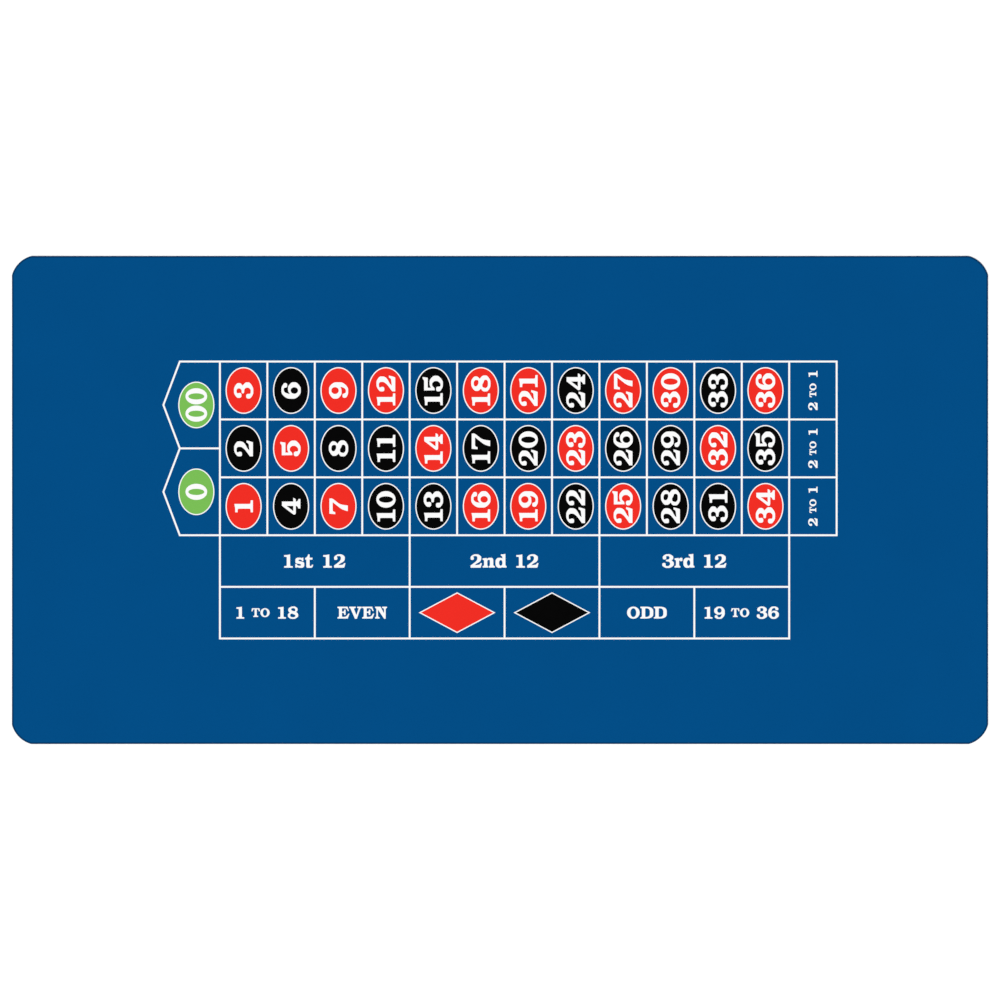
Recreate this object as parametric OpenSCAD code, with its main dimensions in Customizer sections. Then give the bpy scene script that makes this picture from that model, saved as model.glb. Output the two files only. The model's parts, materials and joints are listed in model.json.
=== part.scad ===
// Roulette layout mat: a printed face cloth bonded to a rubber foam base.
// Origin at the middle of the underside, +X along the rows of numbers, +Y towards the 3-6-9 row, +Z up.

/* [Mat] */
// Length of the mat, along the rows of numbers
mat_l = 1800; // [1600:10:2000]
// Width of the mat
mat_w = 900; // [800:10:1000]
// Radius of the arc that cuts off each corner
corner_r = 50.7; // [25:0.1:80]
// How far those arcs would reach past the sides, which end them at a slight angle
corner_lap = 1.8; // [0:0.1:4]
// Thickness of the rubber foam
foam_t = 2.5; // [2:0.5:5]
// Thickness of the glue film between foam and cloth
bond_t = 0.1; // [0.1:0.05:0.3]
// Thickness of the face cloth
cloth_t = 0.4; // [0.3:0.1:1]
// Thickness of one film of ink
ink_t = 0.1; // [0.1:0.05:0.3]

/* [Layout] */
// Pitch of the columns of numbers
field_w = 87.5; // [75:0.5:90]
// Pitch of the rows of numbers
field_h = 106.8; // [95:0.2:115]
// Pitch of the dozens row and of the even chance row
bet_h = 95.2; // [80:0.2:105]
// Width of every printed line
line_w = 3.4; // [2:0.2:5]
// Straight length of the two zero fields
zero_l = 74; // [70:1:90]
// How far the points of the zero fields stand out past their straight length
zero_point = 30.3; // [10:0.1:40]
// How far the ovals of the zero fields stand from the grid
zero_spot = 43.5; // [40:0.5:50]

/* [Spots] */
// Width of an oval, with its rim
oval_w = 66.5; // [50:0.5:70]
// Height of an oval, with its rim
oval_h = 86; // [70:1:92]
// Width of a diamond, with its rim
diamond_w = 141.7; // [100:0.1:160]
// Height of a diamond, with its rim
diamond_h = 75.3; // [50:0.1:85]
// Width of the white rim around each oval and diamond
rim_w = 2; // [1:0.25:3]

/* [Lettering] */
// Height of the numerals on the ovals
numeral_h = 33.6; // [25:0.1:38]
// Height of the numerals on the zero fields
zero_numeral_h = 37.9; // [30:0.1:42]
// Width of those numerals, as a share of the width that the others would have at that height
zero_squeeze = 0.865; // [0.8:0.005:1]
// Height of the dozens lettering
dozen_h = 24; // [18:0.2:30]
// Height of the even chance lettering
chance_h = 21.6; // [16:0.1:24]
// Height of the lettering at the foot of each row
column_h = 16.6; // [12:0.2:19]
// Height of small capitals, as a share of the numerals beside them
small_caps = 0.735; // [0.6:0.005:1]
// Space between the words of a caption, in hundredths of its height
word_gap = 61; // [30:1:80]
// How much closer a numeral's second digit stands after a one, in hundredths of its height
one_tuck = 6.5; // [0:0.5:10]

/* [Hidden] */
$fn = 96;

BLUE = [0.00, 0.30, 0.53];
BLACK = [0.03, 0.03, 0.03];
RED = [0.94, 0.18, 0.14];
GREEN = [0.48, 0.75, 0.33];
WHITE = [0.98, 0.98, 0.98];

// The centre of a corner's arc is this far in from both sides.
corner_at = corner_r - corner_lap;

// The layout sits in the middle of the mat.
columns = 12;
rows = 3;
layout_l = zero_l + zero_point + (columns + 1) * field_w;
layout_h = rows * field_h + 2 * bet_h;
grid_x = zero_l + zero_point - layout_l / 2;
top_y = layout_h / 2;
number_y = top_y - rows * field_h;
dozen_y = number_y - bet_h;
chance_y = dozen_y - bet_h;

// The films lie on the cloth, and the numerals lie on the ovals.
print_z = foam_t + bond_t + cloth_t;
numeral_z = print_z + ink_t;

// The straight pieces that each curved stretch of a sign is drawn with.
curve_steps = 3;

// ---- The places of the fields ----

function column_x(column) = grid_x + (column + 0.5) * field_w;
function row_y(row) = number_y + (row + 0.5) * field_h;
function number_at(n) = [column_x(floor((n - 1) / rows)), row_y((n - 1) % rows)];
function zero_y(row) = number_y + row * rows * field_h / 2;
function zero_at(row) = [grid_x - zero_spot, zero_y(row + 0.5)];
function dozen_at(i) = [grid_x + (i + 0.5) * 4 * field_w, dozen_y + bet_h / 2];
function chance_at(i) = [grid_x + (i + 0.5) * 2 * field_w, chance_y + bet_h / 2];

// Odd numbers are red up to 10 and from 19 to 28, and even numbers are red in between and after.
function is_red(n) = let (k = (n - 1) % 18) k < 10 ? k % 2 == 0 : k % 2 == 1;
reds = [for (n = [1:columns * rows]) if (is_red(n)) n];
blacks = [for (n = [1:columns * rows]) if (!is_red(n)) n];

// ---- Outlines ----

function unit(v) = v / norm(v);
function left_of(a, b) = let (u = unit(b - a)) [-u[1], u[0]];

// A closed outline with every side moved inwards by d. Its points run anticlockwise.
function inset(points, d) = let (n = len(points)) [
    for (i = [0:n - 1])
        let (
            q = points[i],
            before = left_of(points[(i + n - 1) % n], q),
            after = left_of(q, points[(i + 1) % n])
        )
        q + d * (before + after) / (1 + before * after)
];

// A sign's outline is a closed loop of guide points. [x, y] pulls a smooth curve towards itself,
// and [x, y, 1] is a corner that the outline goes through.
function is_corner(p) = len(p) == 3;
function xy(p) = [p[0], p[1]];
function join(p, q) = is_corner(q) ? xy(q) : (xy(p) + xy(q)) / 2;
function bend(a, b, c, t) = (1 - t) * (1 - t) * a + 2 * t * (1 - t) * b + t * t * c;
function traced(guide) = let (n = len(guide)) [
    for (i = [0:n - 1])
        let (p = guide[i], last = guide[(i + n - 1) % n], next = guide[(i + 1) % n])
        each is_corner(p) ? [xy(p)] : [
            for (k = [1:curve_steps - (is_corner(next) ? 1 : 0)])
                bend(join(p, last), xy(p), join(p, next), k / curve_steps)
        ]
];

// Guide points of an upright oval about [x, y], with half width a and half height b.
function bowl(x, y, a, b, k = 0.42) = [
    for (s = [[1, k], [k, 1], [-k, 1], [-1, k], [-1, -k], [-k, -1], [k, -1], [1, -k]])
        [x + a * s[0], y + b * s[1]]
];

// ---- The signs, drawn 100 high: [sign, advance, [outline, counters]] ----

SIGNS = [
    ["0", 97.5, [bowl(45.5, 50, 45.7, 53), bowl(45, 50, 17.5, 39)]],
    ["1", 89.5, [[
        [7, -1, 1], [73, -1, 1], [73, 11, 1], [60, 12], [53, 13], [53, 24, 1], [53, 101, 1],
        [42, 99], [28, 96], [7, 96, 1], [7, 83, 1], [20, 83, 1], [27, 83], [27, 75, 1],
        [27, 24, 1], [27, 13], [20, 12], [7, 11, 1]
    ]]],
    ["2", 97.5, [[
        [1, -1, 1], [78, -1, 1], [84, 14], [88, 34, 1], [77, 34, 1], [72, 22], [58, 21], [33, 18, 1],
        [42, 29], [62, 38], [78, 50], [83, 63], [83, 74], [83, 86], [60, 102], [43, 102], [26, 102],
        [1, 85], [1, 72], [1, 64], [6, 59], [13, 59], [20, 59], [26, 64], [26, 70], [26, 75],
        [22, 80], [23, 88], [37, 89], [45, 89], [53, 82], [53, 73], [53, 62], [42, 47], [28, 35], [1, 16, 1]
    ]]],
    ["3", 97.5, [[
        [70, 56, 1], [84, 64], [84, 77], [84, 87], [59, 103], [43, 103], [26, 103], [3, 87],
        [3, 76], [3, 69], [9, 62], [16, 62], [24, 62], [30, 68], [30, 75], [28, 80],
        [29, 88], [41, 89], [47, 89], [55, 82], [55, 76], [55, 70], [46, 61], [39, 61],
        [28, 61], [28, 54], [28, 48], [38, 47], [51, 46], [59, 37], [59, 30], [59, 22],
        [48, 11], [40, 11], [25, 12], [25, 23], [25, 30], [20, 36], [13, 36], [6, 36],
        [-1, 30], [-1, 23], [-1, 13], [23, -3], [40, -3], [60, -3], [88, 16], [88, 29], [88, 39], [79, 48]
    ]]],
    ["4", 97.5, [[
        [32, -1, 1], [84, -1, 1], [84, 9, 1], [69, 12], [69, 24, 1], [82, 24, 1], [90, 32],
        [90, 38, 1], [70, 38, 1], [70, 100, 1], [47, 100, 1], [-2, 36, 1], [-3, 24], [9, 24, 1],
        [47, 24, 1], [46, 13], [32, 10, 1]
    ], [
        [18, 38, 1], [46, 38, 1], [46, 75, 1]
    ]]],
    ["5", 97.5, [[
        [5, 101, 1], [57, 101, 1], [66, 104], [70, 109, 1], [79, 109, 1], [77, 97], [75, 81, 1],
        [20, 81, 1], [20, 64, 1], [33, 71], [47, 71], [63, 71], [86, 51], [86, 37], [86, 21],
        [59, -2], [40, -2], [24, -2], [0, 13], [0, 22], [0, 29], [6, 35], [13, 35], [20, 35],
        [26, 29], [26, 22], [27, 11], [37, 11], [44, 11], [57, 26], [57, 36], [57, 44], [46, 57],
        [39, 57], [30, 57], [21, 45], [14, 43, 1], [6, 43, 1]
    ]]],
    ["6", 97.5, [[
        [26, 56, 1], [37, 66], [53, 67], [68, 67], [90, 48], [90, 34], [90, 19], [64, -3],
        [45, -3], [26, -3], [0, 24], [0, 45], [0, 73], [26, 103], [50, 103], [63, 103],
        [85, 90], [86, 83], [86, 77], [80, 71], [73, 71], [65, 71], [60, 80], [59, 90],
        [50, 90], [41, 90], [29, 78]
    ], bowl(45, 32, 18, 20.5)]],
    ["7", 97.5, [[
        [18, -1, 1], [49, -1, 1], [51, 20], [57, 44], [68, 59], [88, 83], [88, 90, 1], [87, 100, 1],
        [4, 100, 1], [1, 68, 1], [12, 68, 1], [15, 82], [24, 82, 1], [67, 82, 1], [45, 54],
        [23, 26]
    ]]],
    ["8", 97.5, [[
        [70, 56, 1], [82, 65], [84, 76], [84, 87], [63, 103], [48, 103], [30, 103], [4, 85],
        [4, 73], [4, 62], [17, 49, 1], [7, 44], [1, 36], [1, 27], [1, 13], [25, -3], [45, -3],
        [63, -3], [89, 15], [89, 28], [89, 38], [82, 48]
    ], [
        [29, 84], [37, 89], [46, 89], [53, 89], [64, 82], [64, 74], [64, 67], [59, 63], [52, 63],
        [45, 63], [29, 71]
    ], [
        [20, 31], [27, 42], [34, 42], [41, 42], [51, 35], [65, 31], [65, 23], [65, 17], [55, 11],
        [45, 11], [32, 11], [20, 19]
    ]]],
    ["9", 97.5, [[
        [64, 41, 1], [55, 34], [36, 33], [21, 33], [-1, 53], [-1, 67], [-1, 82], [25, 102],
        [44, 102], [65, 102], [89, 77], [89, 53], [89, 26], [62, -3], [38, -3], [24, -3], [4, 8],
        [4, 16], [4, 23], [9, 28], [16, 28], [24, 28], [28, 18], [32, 10], [40, 10],
        [50, 10], [62, 24]
    ], bowl(43.5, 69, 18.8, 20.4)]],
    ["s", 79, [[
        [65, 76, 1], [65, 50, 1], [55, 50, 1], [50, 61], [38, 61], [28, 61], [28, 56], [28, 51],
        [41, 48], [72, 42], [72, 22], [72, 9], [61, -2], [45, -2], [31, -2], [22, 4], [15, 0, 1], [3, 0, 1],
        [3, 27, 1], [14, 27, 1], [19, 15], [35, 14], [46, 14], [46, 20], [46, 26], [33, 29],
        [5, 32], [4, 44], [4, 54], [4, 67], [17, 76], [34, 76], [45, 76], [54, 70], [56, 76, 1]
    ]]],
    ["t", 71, [[
        [34, 101, 1], [34, 76, 1], [56, 76, 1], [56, 61, 1], [34, 61, 1], [34, 24, 1], [34, 12],
        [42, 12], [49, 12], [51, 22, 1], [62, 22, 1], [58, -2], [34, -2], [9, -2], [9, 18],
        [9, 61, 1], [0, 61, 1], [0, 74, 1], [10, 76], [18, 86], [23, 101, 1]
    ]]],
    ["n", 94, [[
        [-4, 0, 1], [38, 0, 1], [38, 11, 1], [33, 11], [32, 20, 1], [32, 50, 1], [34, 59], [42, 59],
        [52, 58], [52, 46], [52, 20, 1], [51, 11], [43, 11, 1], [43, 0, 1], [90, 0, 1],
        [90, 11, 1], [79, 11], [78, 20, 1], [78, 50, 1], [78, 75], [54, 75], [39, 75], [29, 65, 1],
        [27, 74, 1], [-4, 70, 1], [-4, 60, 1], [7, 59], [7, 50, 1], [7, 20, 1], [6, 11], [-4, 11, 1]
    ]]],
    ["d", 93, [[
        [42, 102, 1], [42, 91, 1], [51, 90], [54, 80, 1], [54, 69, 1], [46, 75], [34, 75], [17, 75],
        [1, 59], [1, 37], [1, 15], [17, -2], [34, -2], [46, -2], [53, 6], [54, 0, 1], [86, 0, 1],
        [86, 11, 1], [78, 11], [77, 22, 1], [77, 105, 1], [62, 102], [50, 102]
    ], bowl(41, 36, 13, 22.5)]],
    ["r", 63, [[
        [-4, 0, 1], [41, 0, 1], [41, 11, 1], [32, 11], [31, 20, 1], [31, 44, 1], [31, 54], [38, 56],
        [38, 49], [47, 49], [57, 49], [57, 62], [57, 75], [45, 75], [36, 75], [29, 65, 1],
        [27, 74, 1], [-4, 70, 1], [-4, 60, 1], [7, 59], [7, 50, 1], [7, 20, 1], [6, 11], [-4, 11, 1]
    ]]],
    ["D", 115, [[
        [0, 101, 1], [0, 90, 1], [13, 89], [13, 80, 1], [13, 20, 1], [12, 11], [0, 11, 1],
        [0, 0, 1], [52, 0, 1], [80, 0], [110, 20], [110, 50], [110, 81], [80, 101], [52, 101, 1]
    ], [
        [41, 80, 1], [41, 88], [50, 88, 1], [64, 88], [81, 74], [81, 50], [81, 27], [64, 13],
        [50, 13, 1], [41, 13], [41, 20, 1]
    ]]],
    ["E", 108, [[
        [0, 0, 1], [87, 0, 1], [103, 42, 1], [92, 42, 1], [80, 15], [60, 14, 1], [46, 14],
        [38, 15], [38, 24, 1], [38, 49, 1], [50, 49], [56, 44], [57, 31, 1], [69, 31, 1],
        [69, 76, 1], [57, 76, 1], [56, 62], [50, 59], [38, 59, 1], [38, 80, 1], [38, 88], [46, 88],
        [56, 88, 1], [72, 88], [83, 78], [87, 64, 1], [98, 64, 1], [85, 101, 1], [0, 101, 1],
        [0, 90, 1], [13, 89], [13, 80, 1], [13, 20, 1], [12, 11], [0, 11, 1]
    ]]],
    ["N", 110, [[
        [2, 0, 1], [40, 0, 1], [40, 11, 1], [28, 12], [26, 22, 1], [26, 77, 1], [79, -2, 1],
        [92, -2, 1], [92, 78, 1], [92, 89], [103, 90, 1], [103, 101, 1], [62, 101, 1], [62, 90, 1],
        [76, 89], [78, 80, 1], [78, 44, 1], [48, 101, 1], [2, 101, 1], [2, 90, 1], [12, 89],
        [13, 80, 1], [13, 22, 1], [12, 12], [2, 11, 1]
    ]]],
    ["O", 114, [bowl(54, 50, 54, 52), bowl(54, 50, 25, 38)]],
    ["T", 104, [[
        [22, 0, 1], [78, 0, 1], [78, 12, 1], [65, 13], [62, 22, 1], [62, 80, 1], [62, 90], [68, 90],
        [76, 90], [84, 76], [87, 66, 1], [100, 66, 1], [93, 101, 1], [7, 101, 1], [0, 66, 1],
        [12, 66, 1], [16, 76], [24, 90], [32, 90], [38, 90], [37, 80, 1], [37, 22, 1], [34, 13],
        [22, 12, 1]
    ]]],
    ["V", 103, [[
        [-8, 101, 1], [47, 101, 1], [47, 90, 1], [33, 89], [33, 80, 1], [53, 30, 1], [71, 80],
        [74, 89], [60, 90, 1], [60, 101, 1], [99, 101, 1], [99, 90, 1], [89, 90], [85, 79, 1],
        [57, -2, 1], [41, -2, 1], [5, 80, 1], [3, 90], [-8, 90, 1]
    ]]],
    [" ", word_gap, []]
];
ADVANCE = 1;
LOOPS = 2;

function sign(s) = SIGNS[search(s, SIGNS)[0]];
function ink(s) = [for (p = traced(sign(s)[LOOPS][0])) p[0]];

// Where sign i of a line starts. A line is a list of [sign, size], with size as a share of full height.
function start(line, i, tuck) = i == 0 ? 0 :
    let (s = line[i - 1][0])
    start(line, i - 1, tuck) + line[i - 1][1] * sign(s)[ADVANCE] - (s == "1" ? tuck : 0);

// Letters as a line of signs of one size.
function word(letters, size = 1) = [for (s = letters) [s, size]];

// A line of signs, centred on its ink, reading along +X.
module lettering(line, height, tuck = 0) {
    last = len(line) - 1;
    from = min(ink(line[0][0]));
    to = start(line, last, tuck) + line[last][1] * max(ink(line[last][0]));
    for (i = [0:last]) {
        size = line[i][1];
        corner = [start(line, i, tuck) - (from + to) / 2, -50 * size];
        loops = [
            for (guide = sign(line[i][0])[LOOPS])
                [for (p = traced(guide)) (corner + size * p) * height / 100]
        ];
        if (len(loops) > 0) difference() {
            polygon(loops[0]);
            for (k = [1:1:len(loops) - 1]) polygon(loops[k]);
        }
    }
}

// ---- Flat shapes ----

module mat_face() intersection() {
    square([mat_l, mat_w], center = true);
    union() {
        square([mat_l - 2 * corner_at, mat_w], center = true);
        square([mat_l, mat_w - 2 * corner_at], center = true);
        for (x = [-1, 1], y = [-1, 1])
            translate([x * (mat_l / 2 - corner_at), y * (mat_w / 2 - corner_at)]) circle(corner_r);
    }
}

module ply(z, thickness) translate([0, 0, z]) linear_extrude(thickness) mat_face();

module film(z = print_z) translate([0, 0, z]) linear_extrude(ink_t) children();

// A straight line between two corners of the grid, with square ends.
module line(from, to) {
    low = [min(from[0], to[0]), min(from[1], to[1])];
    high = [max(from[0], to[0]), max(from[1], to[1])];
    translate(low - [line_w, line_w] / 2) square(high - low + [line_w, line_w]);
}

module oval(margin) {
    height = oval_h - 2 * margin;
    scale([(oval_w - 2 * margin) / height, 1]) circle(d = height);
}

module oval_rim() difference() {
    oval(0);
    oval(rim_w);
}

module ovals_at(places) for (place = places) translate(place) oval(rim_w);

module oval_rims_at(places) for (place = places) translate(place) oval_rim();

diamond = [[diamond_w / 2, 0], [0, diamond_h / 2], [-diamond_w / 2, 0], [0, -diamond_h / 2]];

module diamond_at(place) translate(place) polygon(inset(diamond, rim_w));

module diamond_rim_at(place) translate(place) difference() {
    polygon(diamond);
    polygon(inset(diamond, rim_w));
}

module numerals(from, to) film(numeral_z)
    for (n = [from:to]) translate(number_at(n)) rotate(90) lettering(word(str(n)), numeral_h, one_tuck);

red_places = [for (n = reds) number_at(n)];
black_places = [for (n = blacks) number_at(n)];
zero_places = [zero_at(0), zero_at(1)];

// The centre line around zero fields low to high, counted from below, with a straight end at x.
shoulder_x = grid_x - zero_l;
function zero_outline(x, low, high) = [
    [x, zero_y(low)], [x, zero_y(high)],
    for (row = [high:-1:low + 1])
        each [[shoulder_x, zero_y(row)], [shoulder_x - zero_point, zero_y(row - 0.5)]],
    [shoulder_x, zero_y(low)]
];

// ---- The plies of the mat ----

module foam_base() color(BLACK) ply(0, foam_t);

module bond_film() color([0.75, 0.75, 0.7]) ply(foam_t, bond_t);

module face_cloth() color(BLUE) ply(foam_t + bond_t, cloth_t);

// ---- The lines ----

// Lines along X, each from the left end of the grid over a number of columns.
module lengthways(ys, over) for (y = ys) line([grid_x, y], [grid_x + over * field_w, y]);

// Lines across, one every few columns.
module crossways(low, high, every, count)
    for (i = [0:count]) line([grid_x + i * every * field_w, low], [grid_x + i * every * field_w, high]);

module grid_lines() color(WHITE) film() {
    lengthways([for (row = [0:rows]) number_y + row * field_h], columns + 1);
    lengthways([dozen_y, chance_y], columns);
    crossways(number_y, top_y, 1, columns + 1);
    crossways(dozen_y, number_y, 4, columns / 4);
    crossways(chance_y, dozen_y, 2, columns / 2);
}

module zero_frame() color(WHITE) film() difference() {
    polygon(inset(zero_outline(grid_x - line_w, 0, 2), -line_w / 2));
    for (row = [0, 1]) polygon(inset(zero_outline(grid_x + line_w, row, row + 1), line_w / 2));
}

// ---- The ovals and their rims ----

module red_ovals() color(RED) film() ovals_at(red_places);

module black_ovals() color(BLACK) film() ovals_at(black_places);

module green_ovals() color(GREEN) film() ovals_at(zero_places);

module red_oval_rims() color(WHITE) film() oval_rims_at(red_places);

module black_oval_rims() color(WHITE) film() oval_rims_at(black_places);

module green_oval_rims() color(WHITE) film() oval_rims_at(zero_places);

// ---- The numerals, printed over the ovals ----

module zero_numerals() color(WHITE) film(numeral_z) for (row = [0, 1])
    translate(zero_at(row)) rotate(90) scale([zero_squeeze, 1])
        lettering(word(row == 0 ? "0" : "00"), zero_numeral_h);

module first_dozen_numerals() color(WHITE) numerals(1, 12);

module second_dozen_numerals() color(WHITE) numerals(13, 24);

module third_dozen_numerals() color(WHITE) numerals(25, 36);

// ---- The captions ----

module dozen_caption(i, letters) color(WHITE) film() translate(dozen_at(i))
    lettering(word(str(letters, " 12")), dozen_h);

module chance_caption(i, line) color(WHITE) film() translate(chance_at(i)) lettering(line, chance_h);

function range_line(from, to) = concat(word(from), word(" TO", small_caps), word(str(" ", to)));

module first_dozen_caption() dozen_caption(0, "1st");

module second_dozen_caption() dozen_caption(1, "2nd");

module third_dozen_caption() dozen_caption(2, "3rd");

module column_captions() color(WHITE) film() for (row = [0:rows - 1])
    translate([column_x(columns), row_y(row)]) rotate(90)
        lettering(range_line("2", "1"), column_h);

module low_caption() chance_caption(0, range_line("1", "18"));

module even_caption() chance_caption(1, word("EVEN"));

module odd_caption() chance_caption(4, word("ODD"));

module high_caption() chance_caption(5, range_line("19", "36"));

// ---- The diamonds ----

module red_diamond() color(RED) film() diamond_at(chance_at(2));

module black_diamond() color(BLACK) film() diamond_at(chance_at(3));

module red_diamond_rim() color(WHITE) film() diamond_rim_at(chance_at(2));

module black_diamond_rim() color(WHITE) film() diamond_rim_at(chance_at(3));

foam_base();
bond_film();
face_cloth();
grid_lines();
zero_frame();
red_ovals();
black_ovals();
green_ovals();
red_oval_rims();
black_oval_rims();
green_oval_rims();
zero_numerals();
first_dozen_numerals();
second_dozen_numerals();
third_dozen_numerals();
first_dozen_caption();
second_dozen_caption();
third_dozen_caption();
column_captions();
low_caption();
even_caption();
odd_caption();
high_caption();
red_diamond();
black_diamond();
red_diamond_rim();
black_diamond_rim();
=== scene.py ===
"""Looks of a roulette layout mat: a printed knit cloth on a rubber foam base, lying on a pale floor."""

import json
import math

import bpy
import numpy as np
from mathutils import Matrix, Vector, geometry, noise


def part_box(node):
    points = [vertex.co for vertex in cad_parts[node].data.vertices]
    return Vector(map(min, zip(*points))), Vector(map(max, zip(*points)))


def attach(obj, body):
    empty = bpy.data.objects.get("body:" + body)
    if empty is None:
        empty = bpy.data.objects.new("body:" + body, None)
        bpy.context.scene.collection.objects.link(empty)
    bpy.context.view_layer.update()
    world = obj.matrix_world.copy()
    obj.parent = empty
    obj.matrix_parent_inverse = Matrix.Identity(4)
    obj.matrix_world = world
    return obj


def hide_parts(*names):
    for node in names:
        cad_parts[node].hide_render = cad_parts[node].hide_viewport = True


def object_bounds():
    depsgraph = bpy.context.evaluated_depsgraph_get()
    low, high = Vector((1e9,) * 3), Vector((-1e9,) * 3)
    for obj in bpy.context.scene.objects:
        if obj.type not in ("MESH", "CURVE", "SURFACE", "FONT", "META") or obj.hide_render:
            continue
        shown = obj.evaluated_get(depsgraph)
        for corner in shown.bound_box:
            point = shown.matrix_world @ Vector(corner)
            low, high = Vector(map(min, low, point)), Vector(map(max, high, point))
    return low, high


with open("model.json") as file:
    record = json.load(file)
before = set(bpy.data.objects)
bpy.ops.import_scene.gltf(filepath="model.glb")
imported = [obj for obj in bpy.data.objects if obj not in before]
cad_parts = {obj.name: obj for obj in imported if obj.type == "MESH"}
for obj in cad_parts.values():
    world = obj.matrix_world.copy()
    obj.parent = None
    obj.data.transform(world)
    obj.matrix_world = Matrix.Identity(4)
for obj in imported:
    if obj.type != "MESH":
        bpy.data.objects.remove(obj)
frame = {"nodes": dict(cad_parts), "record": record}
cad_low, cad_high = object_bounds()
MM = 0.001  # lengths are in metres

# ---- Sizes of what the CAD leaves out ----

CORNER_RADIUS = 50.7 * MM
CORNER_LAP = 1.8 * MM  # how far the corner arcs would reach past the sides, which cut them off
CORNER_CENTRE = CORNER_RADIUS - CORNER_LAP
CORNER_CUT = CORNER_CENTRE - math.sqrt(CORNER_RADIUS**2 - CORNER_CENTRE**2)
CORNER_STEPS = 24
GRID = 14 * MM  # faces are divided at least this finely, so that they follow the mat's lay
OVAL_STEPS = 144
SOFT_TURN = math.radians(50)  # lettering is round where its outline turns by less than this at a point
STRAIGHT_TURN = math.radians(2)  # and straight where it turns by less than this
ROUNDING_PASSES = 2

# How the mat lies: a low swell left by rolling it up, and a slight lift towards its ends and corners.
SWELL = 0.5 * MM
SWELL_LENGTH = 0.28
SWELL_SLICE = 0.5  # the height at which the noise is cut. Another gives another lay
END_LIFT = 0.5 * MM
CORNER_LIFT = 1.2 * MM
LIFT_REACH = 0.13

# The embossed underside: square pads between V-shaped grooves.
PAD_PITCH = 15 * MM
GROOVE_HALF = 1.1 * MM
GROOVE_DEPTH = 0.45 * MM

# Rims from the underside up, as (share of the ply's height, distance in from the outline).
FOAM_RIM = [(0, 0.4 * MM), (0.06, 0.1 * MM), (0.2, 0), (0.55, 0.14 * MM), (0.9, 0), (1, 0.06 * MM)]
BOND_RIM = [(0, 0.12 * MM), (1, 0.12 * MM)]
CLOTH_RIM = [
    (0, 0.06 * MM), (0.25, 0), (0.5, 0), (0.68, 0.08 * MM), (0.8, 0.3 * MM), (0.87, 0.8 * MM),
    (0.93, 2 * MM), (1, 4 * MM),
]

# The knit of the face cloth, whose wales run along the mat.
WALE = 0.9 * MM
COURSE = 0.7 * MM
LEG_LEAN = 0.6  # how far a leg leans along the mat over half a wale, in courses
LEG_LOW = 0.1  # the height of a leg at its lowest, where its highest is 1
FUZZ = 0.25 * MM
FUZZ_SHARE = 0.2

# The sizes of the blotches in the finishes.
DRIFT = 160 * MM
DUST = 40 * MM
WEAR = 9 * MM
SPECKLE = 3 * MM
GLUE_CLOUD = 2 * MM
LARGE_PORE = 0.9 * MM
SMALL_PORE = 0.35 * MM

# Colours as the eye sees them, in sRGB. The light on a level surface is LIGHT times a paper white's.
BLUE = (0, 77, 134)
RED = (240, 45, 35)
BLACK = (3, 3, 3)
GREEN = (122, 190, 86)
WHITE = (253, 253, 253)
FOAM_DARK, FOAM_PALE = (20, 20, 21), (44, 44, 45)
GLUE_DARK, GLUE_PALE = (170, 168, 156), (205, 203, 192)
LIGHT = 1.2
PAINTED_EDGE_SHADE = 0.5  # the share of its colour that the cloth keeps where shade is painted along its sloping edge
TONE_AND_SHADE_DOWN = 0.65  # a colour's range below and above it, over its dye's drift and speckle and the painted shade between the yarns. The mix is mostly low, so that these even out
TONE_AND_SHADE_UP = 1.35

MERGE = 1e-7  # points nearer than this, in metres, are one
TOP_SLACK = 0.01 * MM  # points nearer than this to the top of a film are on it

half_length = cad_high.x
half_width = cad_high.y


def lift(x, y):
    """How far the mat's underside stands off the floor at a point."""
    swell = noise.noise((x / SWELL_LENGTH, y / SWELL_LENGTH, SWELL_SLICE))
    to_end = math.exp((abs(x) - half_length) / LIFT_REACH)
    to_side = math.exp((abs(y) - half_width) / LIFT_REACH)
    return SWELL * swell**2 + END_LIFT * to_end**2 + CORNER_LIFT * (to_end * to_side) ** 2


def stops(half, pitch=GRID):
    """Places along an axis, a pitch apart."""
    count = math.floor(half / pitch)
    return [k * pitch for k in range(-count, count + 1)]


# ---- Outlines: closed loops of points, outer ones anticlockwise and holes clockwise ----


def neighbours(loop):
    return zip(np.roll(loop, 1, axis=0), loop, np.roll(loop, -1, axis=0))


def divided(loop):
    """The loop with its long sides cut into equal stretches."""
    out = []
    for _, here, after in neighbours(loop):
        count = max(1, math.ceil(np.linalg.norm(after - here) / GRID))
        out += [here + (after - here) * k / count for k in range(count)]
    return np.array(out)


def enclosed(loop):
    """The area inside a loop, below zero for a clockwise one."""
    x, y = loop.T
    return np.sum(x * np.roll(y, -1) - y * np.roll(x, -1)) / 2


def mat_outline(inset, xs, ys):
    """The mat's outline moved inwards, with points at xs and ys along its straight sides."""
    radius = CORNER_RADIUS - inset
    start = math.acos(1 - CORNER_LAP / radius)
    end_x, end_y = half_length - CORNER_CENTRE, half_width - CORNER_CENTRE
    xs = [x for x in xs if abs(x) < half_length - CORNER_CUT - MM]
    ys = [y for y in ys if abs(y) < half_width - CORNER_CUT - MM]
    quarter = np.linspace(start, math.pi / 2 - start, CORNER_STEPS + 1)
    loop = []
    for turn, (sx, sy) in enumerate([(1, 1), (-1, 1), (-1, -1), (1, -1)]):
        for a in quarter + turn * math.pi / 2:
            loop.append((sx * end_x + radius * math.cos(a), sy * end_y + radius * math.sin(a)))
        if turn % 2 == 0:
            loop += [(x, sy * (half_width - inset)) for x in sorted(xs, reverse=sy > 0)]
        else:
            loop += [(sx * (half_length - inset), y) for y in sorted(ys, reverse=sx < 0)]
    return np.array(loop)


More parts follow.
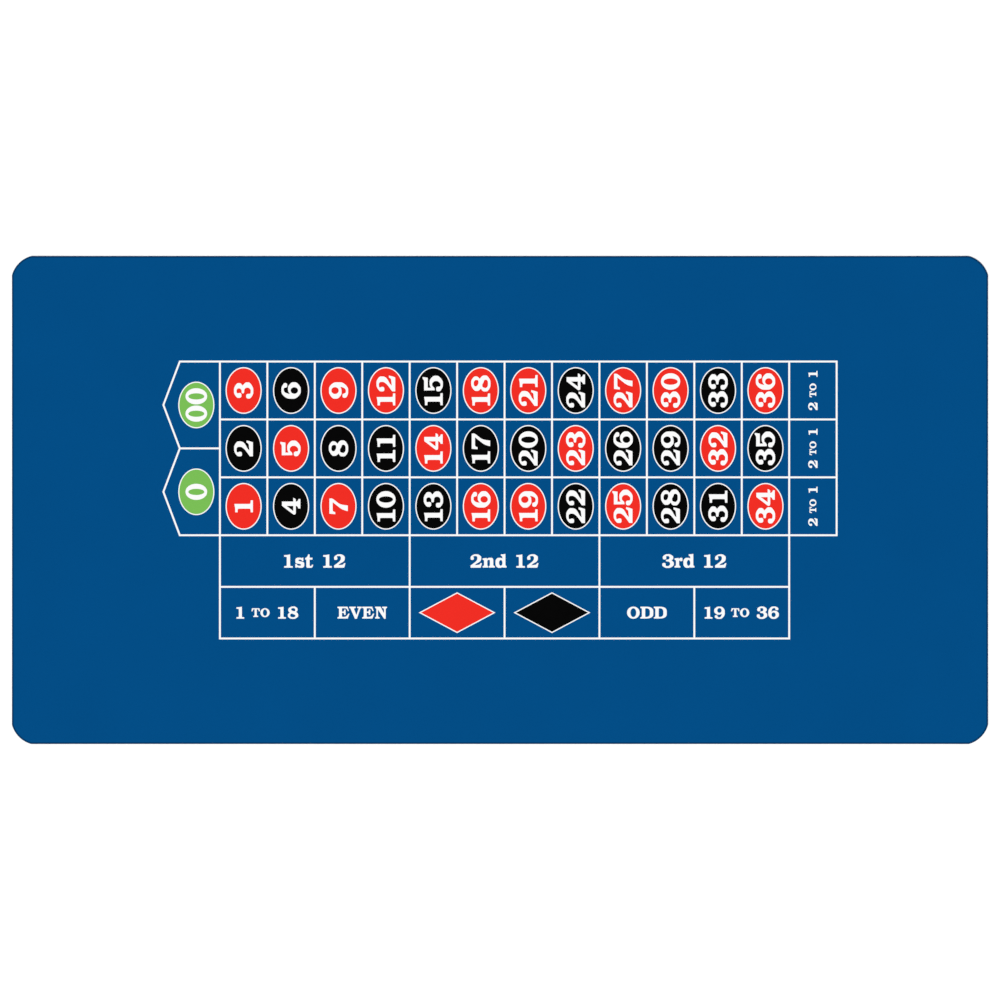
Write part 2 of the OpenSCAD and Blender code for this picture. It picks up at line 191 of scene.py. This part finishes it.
def printed_outlines(node):
    """The outlines of a printed film, from the top faces of its CAD solids."""
    mesh = frame["nodes"][node].data
    mesh.calc_loop_triangles()
    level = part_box(node)[1].z - TOP_SLACK
    edges = set()
    for triangle in mesh.loop_triangles:
        corners = [mesh.vertices[i].co for i in triangle.vertices]
        if min(c.z for c in corners) > level:
            ring = [(round(c.x, 7), round(c.y, 7)) for c in corners]
            edges.update(zip(ring, ring[1:] + ring[:1]))
    follows = {a: b for a, b in edges if (b, a) not in edges}
    loops = []
    while follows:
        point = min(follows)
        loop = []
        while point in follows:
            loop.append(point)
            point = follows.pop(point)
        loops.append(np.array(loop))
    return loops


def rounded(loop):
    """A sign's outline with each soft turn cut in two, a quarter of a side away. Its corners stay."""
    for _ in range(ROUNDING_PASSES):
        out = []
        for before, here, after in neighbours(loop):
            back, on = before - here, after - here
            far_back, far_on = np.linalg.norm(back), np.linalg.norm(on)
            turn = math.pi - math.acos(max(-1.0, min(1.0, back @ on / (far_back * far_on))))
            reach = min(far_back, far_on) / 4
            soft = STRAIGHT_TURN < turn < SOFT_TURN
            out += [here + back / far_back * reach, here + on / far_on * reach] if soft else [here]
        loop = np.array(out)
    return loop


def true_oval(loop):
    """The fine oval that a coarse one's points lie on, running the same way round."""
    x, y = loop.T
    terms = np.stack([x * x, x, y * y, y], axis=1)
    a, b, c, d = np.linalg.lstsq(terms, np.ones(len(x)), rcond=None)[0]
    centre = np.array([-b / (2 * a), -d / (2 * c)])
    size = 1 + a * centre[0] ** 2 + c * centre[1] ** 2
    turns = np.sign(enclosed(loop)) * np.linspace(0, 2 * math.pi, OVAL_STEPS, endpoint=False)
    around = [math.sqrt(size / a) * np.cos(turns), math.sqrt(size / c) * np.sin(turns)]
    return centre + np.stack(around, axis=1)


# ---- Closed solids between outlines ----


def inside(points, loops):
    """Whether each point lies inside an odd number of the loops."""
    odd = np.zeros(len(points), bool)
    for loop in loops:
        for _, (ax, ay), (bx, by) in neighbours(loop):
            if ay != by:
                across = (ay > points[:, 1]) != (by > points[:, 1])
                odd ^= across & (points[:, 0] < ax + (points[:, 1] - ay) * (bx - ax) / (by - ay))
    return odd


def filled(loops, xs, ys):
    """Triangles over the region inside the loops, divided at xs and ys, and their points, the rim's first."""
    rim = np.concatenate(loops)
    sides = list(enumerate(following(loops).tolist()))
    low, high = rim.min(axis=0), rim.max(axis=0)
    xs = [x for x in xs if low[0] < x < high[0]]
    ys = [y for y in ys if low[1] < y < high[1]]
    inner = np.array([(x, y) for x in xs for y in ys]).reshape(-1, 2)
    points = np.concatenate([rim, inner[inside(inner, loops)]])
    made = geometry.delaunay_2d_cdt([Vector(p) for p in points], sides, [], 0, MERGE, True)
    at, triangles = np.array([tuple(p) for p in made[0]]), np.array(made[2])
    kept = triangles[inside(at[triangles].mean(axis=1), loops)]
    source = np.array([sources[0] for sources in made[3]])
    return points, source[kept]


def following(loops):
    """For each point of the loops, laid end to end, the number of the point after it."""
    ends = np.cumsum([len(loop) for loop in loops])
    parts = np.split(np.arange(ends[-1]), ends[:-1])
    return np.concatenate([np.roll(part, -1) for part in parts])


def closed_mesh(name, levels, under=None, relief=None):
    """A closed solid. Its levels are (loops, height) from the underside up, with as many points in each.
    Its faces are divided by the grid, or at under's xs and ys on the underside, and relief gives how far
    the underside is raised at a point."""
    grid = stops(half_length), stops(half_width)
    after = following(levels[0][0])
    count = len(after)
    ring = np.arange(count)
    points = [np.column_stack([np.concatenate(loops), np.full(count, z)]) for loops, z in levels]
    wall = np.column_stack([ring, after, after + count, ring + count])
    faces = [face for level in range(len(levels) - 1) for face in (wall + level * count).tolist()]
    total = count * len(levels)
    for level, way, (xs, ys) in ((0, -1, under or grid), (len(levels) - 1, 1, grid)):
        loops, z = levels[level]
        flat, triangles = filled(loops, xs, ys)
        added = flat[count:]
        numbers = np.concatenate([ring + level * count, total + np.arange(len(added))])
        points.append(np.column_stack([added, np.full(len(added), z)]))
        faces += numbers[triangles][:, ::way].tolist()
        total += len(added)
    points = np.concatenate(points)
    underside = levels[0][1]
    for point in points:
        if relief and point[2] == underside:
            point[2] += relief(point[0], point[1])
        point[2] += lift(point[0], point[1])
    mesh = bpy.data.meshes.new(name)
    mesh.from_pydata(points.tolist(), [], faces)
    mesh.validate()
    return mesh


def place(name, mesh, node, material):
    """The piece that stands for a CAD node."""
    piece = bpy.data.objects.new(name, mesh)
    bpy.context.scene.collection.objects.link(piece)
    mesh.materials.append(material)
    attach(piece, "root")
    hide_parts(node)
    return piece


# ---- Materials ----


def linear(colour):
    """An sRGB colour as the linear one that shows as it under this scene's light."""
    parts = [((c / 255 + 0.055) / 1.055) ** 2.4 if c > 10 else c / 255 / 12.92 for c in colour]
    return tuple(c / LIGHT for c in parts)


def shaded(colour, share):
    return (*(c * share for c in linear(colour)), 1)


def put(tree, kind, values=(), **settings):
    """A new node. values pairs an input's name or number with a constant or with another node's output."""
    made = tree.nodes.new(kind)
    for name, value in settings.items():
        setattr(made, name, value)
    for key, value in dict(values).items():
        if isinstance(value, bpy.types.NodeSocket):
            tree.links.new(value, made.inputs[key])
        else:
            made.inputs[key].default_value = value
    return made


def maths(tree, operation, a, b=0.0):
    return put(tree, "ShaderNodeMath", {0: a, 1: b}, operation=operation).outputs[0]


def texture(tree, size, detail=2.0):
    """Smooth noise from 0 to 1, whose blotches are about that size."""
    where = put(tree, "ShaderNodeTexCoord").outputs["Object"]
    return put(tree, "ShaderNodeTexNoise", {"Vector": where, "Scale": 1 / size, "Detail": detail}).outputs[0]


def blend_of(tree, *parts):
    """The weighted sum of (output, weight) pairs."""
    total = maths(tree, "MULTIPLY", *parts[0])
    for output, weight in parts[1:]:
        total = maths(tree, "ADD", total, maths(tree, "MULTIPLY", output, weight))
    return total


def mixed(tree, factor, a, b):
    made = put(tree, "ShaderNodeMix", {0: factor, 6: a, 7: b}, data_type="RGBA")
    return made.outputs[2]


def ranged(tree, factor, low, high):
    return put(tree, "ShaderNodeMapRange", {0: factor, 3: low, 4: high}).outputs[0]


def knit_height():
    """The height of a jersey knit, as a node group: each wale is two legs that meet in a V at each course."""
    tree = bpy.data.node_groups.new("knit", "ShaderNodeTree")
    tree.interface.new_socket("Height", in_out="OUTPUT", socket_type="NodeSocketFloat")
    where = put(tree, "ShaderNodeTexCoord").outputs["Object"]
    split = put(tree, "ShaderNodeSeparateXYZ", {0: where})
    across = maths(tree, "FRACT", maths(tree, "DIVIDE", split.outputs["Y"], WALE))
    side = maths(tree, "MULTIPLY", maths(tree, "ABSOLUTE", maths(tree, "SUBTRACT", across, 0.5)), 2.0)
    along = maths(tree, "DIVIDE", split.outputs["X"], COURSE)
    leg = maths(tree, "SINE", maths(tree, "MULTIPLY", side, math.pi))
    phase = maths(tree, "ADD", along, maths(tree, "MULTIPLY", side, LEG_LEAN))
    loop = maths(tree, "SINE", maths(tree, "MULTIPLY", phase, 2 * math.pi))
    height = maths(tree, "MULTIPLY", leg, ranged(tree, loop, LEG_LOW, 1.0))
    fuzz = texture(tree, FUZZ, 3.0)
    total = blend_of(tree, (height, 1 - FUZZ_SHARE), (fuzz, FUZZ_SHARE))
    put(tree, "NodeGroupOutput", {0: total})
    return tree


def surface(name, colour, bump_height, bump_depth, roughness, **constants):
    """A material. Its colour, bump height and roughness are functions of its tree, the rest constants."""
    made = bpy.data.materials.new(name)
    made.use_nodes = True
    tree = made.node_tree
    shader = tree.nodes["Principled BSDF"]
    for socket, value in constants.items():
        shader.inputs[socket.replace("_", " ")].default_value = value
    bump = put(tree, "ShaderNodeBump", {"Distance": bump_depth, "Height": bump_height(tree)})
    tree.links.new(colour(tree), shader.inputs["Base Color"])
    tree.links.new(roughness(tree), shader.inputs["Roughness"])
    tree.links.new(bump.outputs[0], shader.inputs["Normal"])
    return made


def knit_of(tree):
    return put(tree, "ShaderNodeGroup", node_tree=KNIT).outputs[0]


def dyed_and_knit_shaded(colour, spread):
    """A colour that drifts over the mat and is speckled, with painted shade that darkens it between the
    yarns.
    """

    def build(tree):
        drift, speckle = texture(tree, DRIFT), texture(tree, SPECKLE, 4.0)
        # Drift and speckle are the dye's own tone; the knit's height paints shade between the yarns.
        tone_and_shade = blend_of(tree, (drift, 0.15), (speckle, 0.2), (knit_of(tree), 0.65))
        return mixed(tree, tone_and_shade, shaded(colour, 1 - TONE_AND_SHADE_DOWN * spread), shaded(colour, 1 + TONE_AND_SHADE_UP * spread))

    return build


def cloth_colour(tree):
    """The cloth's colour, with painted shade that darkens it along its sloping edge."""
    painted_edge_shade = put(tree, "ShaderNodeAttribute", attribute_name="painted_edge_shade").outputs["Fac"]
    plain = dyed_and_knit_shaded(BLUE, 0.3)(tree)
    return mixed(tree, painted_edge_shade, plain, shaded(BLUE, PAINTED_EDGE_SHADE))


def worn(middle, spread):
    """Roughness that varies a little about its middle."""
    return lambda tree: ranged(tree, texture(tree, WEAR, 4.0), middle - spread, middle + spread)


def ink(name, colour, spread):
    """Screen-printed ink, which lies on the yarns and fills them only in part. Its colour carries painted
    shade that darkens it between the yarns.
    """
    return surface(
        name, dyed_and_knit_shaded(colour, spread), knit_of, bump_depth=0.07 * MM, roughness=worn(0.72, 0.1),
        Specular_IOR_Level=0.02,
    )


def foam_cells(tree):
    """The height of cut cellular rubber: round pores of two sizes."""
    where = put(tree, "ShaderNodeTexCoord").outputs["Object"]
    large = put(tree, "ShaderNodeTexVoronoi", {"Vector": where, "Scale": 1 / LARGE_PORE}).outputs[0]
    small = put(tree, "ShaderNodeTexVoronoi", {"Vector": where, "Scale": 1 / SMALL_PORE}).outputs[0]
    return blend_of(tree, (large, 0.7), (small, 0.3))


def foam_colour(tree):
    # Blotches of dust, mixed with painted shade that darkens the pores.
    dust_and_pore_shade = blend_of(tree, (texture(tree, DUST, 5.0), 0.5), (foam_cells(tree), 0.5))
    return mixed(tree, dust_and_pore_shade, shaded(FOAM_DARK, 1), shaded(FOAM_PALE, 1))


def glue_colour(tree):
    return mixed(tree, texture(tree, GLUE_CLOUD, 3.0), shaded(GLUE_DARK, 1), shaded(GLUE_PALE, 1))


KNIT = knit_height()
CLOTH = surface(
    "blue_knit", cloth_colour, knit_of, bump_depth=0.12 * MM, roughness=worn(0.88, 0.06),
    Specular_IOR_Level=0.02, Sheen_Weight=0.015, Sheen_Roughness=0.5,
)
FOAM = surface(
    "rubber_foam", foam_colour, foam_cells, bump_depth=0.12 * MM, roughness=worn(0.85, 0.08),
    Specular_IOR_Level=0.3,
)
GLUE = surface(
    "adhesive", glue_colour, foam_cells, bump_depth=0.02 * MM, roughness=worn(0.4, 0.1),
    Specular_IOR_Level=0.4,
)
INKS = {
    "white_ink": ink("white_ink", WHITE, 0.06),
    "red_ink": ink("red_ink", RED, 0.18),
    "black_ink": ink("black_ink", BLACK, 0.4),
    "green_ink": ink("green_ink", GREEN, 0.18),
}

# ---- The plies ----


def groove(at):
    """How deep the grooves that cross one axis are at a place along it."""
    distance = abs((at / PAD_PITCH + 0.5) % 1 - 0.5) * PAD_PITCH
    return GROOVE_DEPTH * max(0.0, 1 - distance / GROOVE_HALF)


def embossed(x, y):
    return max(groove(x), groove(y))


def ply_levels(node, rim, xs, ys):
    low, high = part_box(node)
    return [([mat_outline(inset, xs, ys)], low.z + (high.z - low.z) * share) for share, inset in rim]


def foam_sheet():
    xs, ys = (
        [at + side for at in stops(half, PAD_PITCH) for side in (-GROOVE_HALF, 0, GROOVE_HALF)]
        for half in (half_length, half_width)
    )
    mesh = closed_mesh("foam_sheet", ply_levels("foam_base", FOAM_RIM, xs, ys), (xs, ys), embossed)
    piece = place("foam_sheet", mesh, "foam_base", FOAM)
    return piece


def adhesive_layer():
    xs, ys = stops(half_length), stops(half_width)
    mesh = closed_mesh("adhesive_layer", ply_levels("bond_film", BOND_RIM, xs, ys))
    return place("adhesive_layer", mesh, "bond_film", GLUE)


def printed_cloth():
    xs, ys = stops(half_length), stops(half_width)
    levels = ply_levels("face_cloth", CLOTH_RIM, xs, ys)
    mesh = closed_mesh("printed_cloth", levels)
    ring = len(levels[0][0][0])
    # The faces of the sloping edge carry a mask for the painted shade that darkens the cloth there.
    painted_edge_shade = mesh.attributes.new("painted_edge_shade", "FLOAT", "POINT")
    for k in range(ring, ring * (len(levels) - 1)):
        painted_edge_shade.data[k].value = 1.0
    piece = place("printed_cloth", mesh, "face_cloth", CLOTH)
    flat, area = (2 * half_width, 2 * half_length), enclosed(mat_outline(0, [], []))
    return piece


# ---- The print ----


def film(node, slot):
    low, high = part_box(node)
    loops = printed_outlines(node)
    if node.endswith(("ovals", "rims")) and "diamond" not in node:
        loops = [true_oval(loop) for loop in loops]
    elif node.endswith(("numerals", "caption", "captions")):
        loops = [rounded(loop) for loop in loops]
    loops = [divided(loop) for loop in loops]
    levels = [(loops, low.z), (loops, high.z)]
    mesh = closed_mesh("print_" + node, levels)
    return place("print_" + node, mesh, node, INKS[slot])


foam_sheet()
adhesive_layer()
printed_cloth()
for part in frame["record"]["subparts"]:
    if part["material_slot"] in INKS:
        film(part["node"], part["material_slot"])

# ---- Floor, light and camera ----

SKY = 0.5  # the share of LIGHT that comes evenly from all round
SUN_TILT = math.radians(20)
SUN_TURN = math.radians(-50)
SUN_SIZE = math.radians(30)
LENS_MM = 90
VIEW_WIDTH = 1844.4 * MM  # how much of the mat's level the picture spans
FLOOR_REACH = 60
FLOOR_GREY = 0.97


def floor():
    mesh = bpy.data.meshes.new("floor")
    corners = [(x * FLOOR_REACH, y * FLOOR_REACH, 0) for x, y in [(-1, -1), (1, -1), (1, 1), (-1, 1)]]
    mesh.from_pydata(corners, [], [(0, 1, 2, 3)])
    made = bpy.data.materials.new("paper_floor")
    made.use_nodes = True
    shader = made.node_tree.nodes["Principled BSDF"]
    shader.inputs["Base Color"].default_value = (FLOOR_GREY, FLOOR_GREY, FLOOR_GREY, 1)
    shader.inputs["Roughness"].default_value = 0.9
    shader.inputs["Specular IOR Level"].default_value = 0.1
    mesh.materials.append(made)
    piece = bpy.data.objects.new("floor", mesh)
    bpy.context.scene.collection.objects.link(piece)


def lights():
    world = bpy.data.worlds.new("studio")
    world.use_nodes = True
    world.node_tree.nodes["Background"].inputs["Color"].default_value = (1, 1, 1, 1)
    world.node_tree.nodes["Background"].inputs["Strength"].default_value = SKY
    bpy.context.scene.world = world
    lamp = bpy.data.lights.new("softbox", "SUN")
    lamp.angle = SUN_SIZE
    lamp.energy = (LIGHT - SKY) * math.pi / math.cos(SUN_TILT)
    sun = bpy.data.objects.new("softbox", lamp)
    sun.rotation_euler = (SUN_TILT, 0, SUN_TURN)
    bpy.context.scene.collection.objects.link(sun)


def camera():
    """Straight above the mat, square to it, from a few metres up."""
    data = bpy.data.cameras.new("camera")
    data.lens = LENS_MM
    eye = bpy.data.objects.new("camera", data)
    eye.location = (0, 0, cad_high.z + VIEW_WIDTH * LENS_MM / data.sensor_width)
    bpy.context.scene.collection.objects.link(eye)
    bpy.context.scene.camera = eye


floor()
lights()
camera()
bpy.context.scene.view_settings.view_transform = "Standard"
